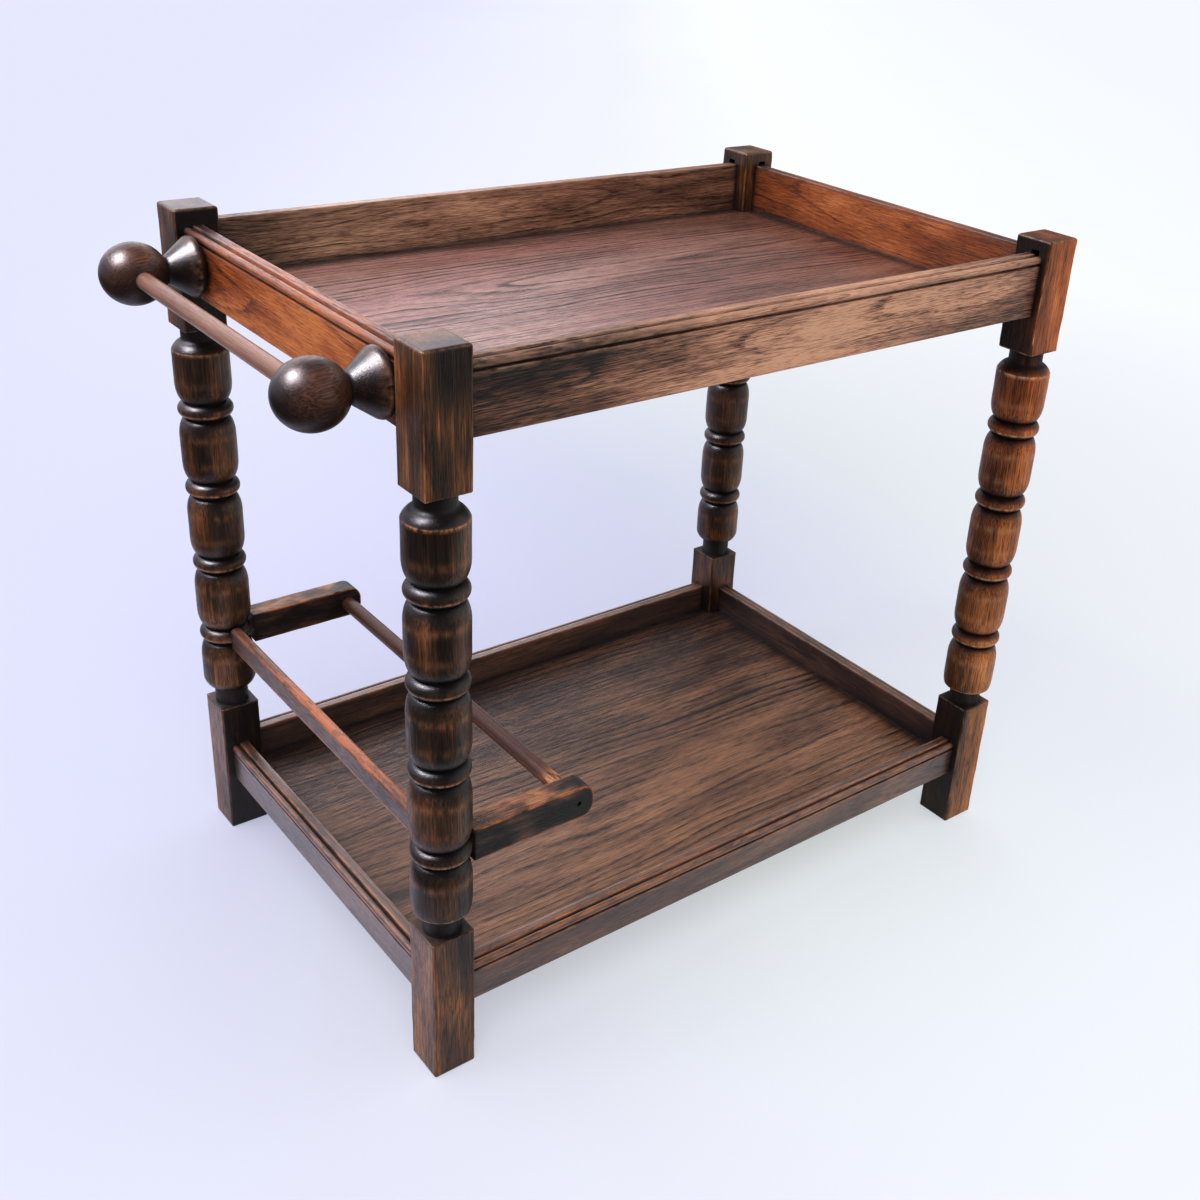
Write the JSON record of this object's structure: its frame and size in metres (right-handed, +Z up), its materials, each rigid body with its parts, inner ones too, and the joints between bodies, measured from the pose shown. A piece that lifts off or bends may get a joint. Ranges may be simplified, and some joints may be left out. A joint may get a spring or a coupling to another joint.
{
  "type": "bar cart",
  "caption": "Two-tier wooden bar cart: turned legs with square blocks, railed trays above and below, a turned push handle at one end and a bottle rack between the end legs.",
  "frame": {"origin": "on the floor, under the middle of the whole cart with its handle", "axes": "+Z up; X along the cart's length with the push handle at the -X end; Y across its width, -Y towards the near long side"},
  "size_m": [0.8728, 0.535, 0.736],
  "materials": {
    "oak_legs": "dark stained oak, satin wax",
    "oak_rails": "dark stained oak, satin wax",
    "oak_boards": "dark stained oak veneer, satin",
    "oak_knobs": "dark stained oak, satin wax",
    "oak_rack": "dark stained oak, satin wax",
    "hardwood_rods": "smooth close-grained hardwood, satin",
    "beech_dowels": "plain unstained",
    "steel_fasteners": "dull steel"
  },
  "bodies": {
    "root": {"leg_front_left": "oak_legs", "leg_front_right": "oak_legs", "leg_back_left": "oak_legs", "leg_back_right": "oak_legs", "top_rail_front": "oak_rails", "top_rail_back": "oak_rails", "top_rail_left": "oak_rails", "top_rail_right": "oak_rails", "lower_rail_front": "oak_rails", "lower_rail_back": "oak_rails", "lower_rail_left": "oak_rails", "lower_rail_right": "oak_rails", "top_board": "oak_boards", "lower_board": "oak_boards", "knob_front": "oak_knobs", "knob_back": "oak_knobs", "handle_rod": "hardwood_rods", "knob_screws": "steel_fasteners", "rack_arm_front": "oak_rack", "rack_arm_back": "oak_rack", "rack_bar": "oak_rack", "rack_rod": "hardwood_rods", "rack_nails": "steel_fasteners", "rack_arm_dowels": "beech_dowels", "rack_bar_dowels": "beech_dowels", "top_board_pins": "steel_fasteners", "lower_board_pins": "steel_fasteners"}
  },
  "joints": []
}
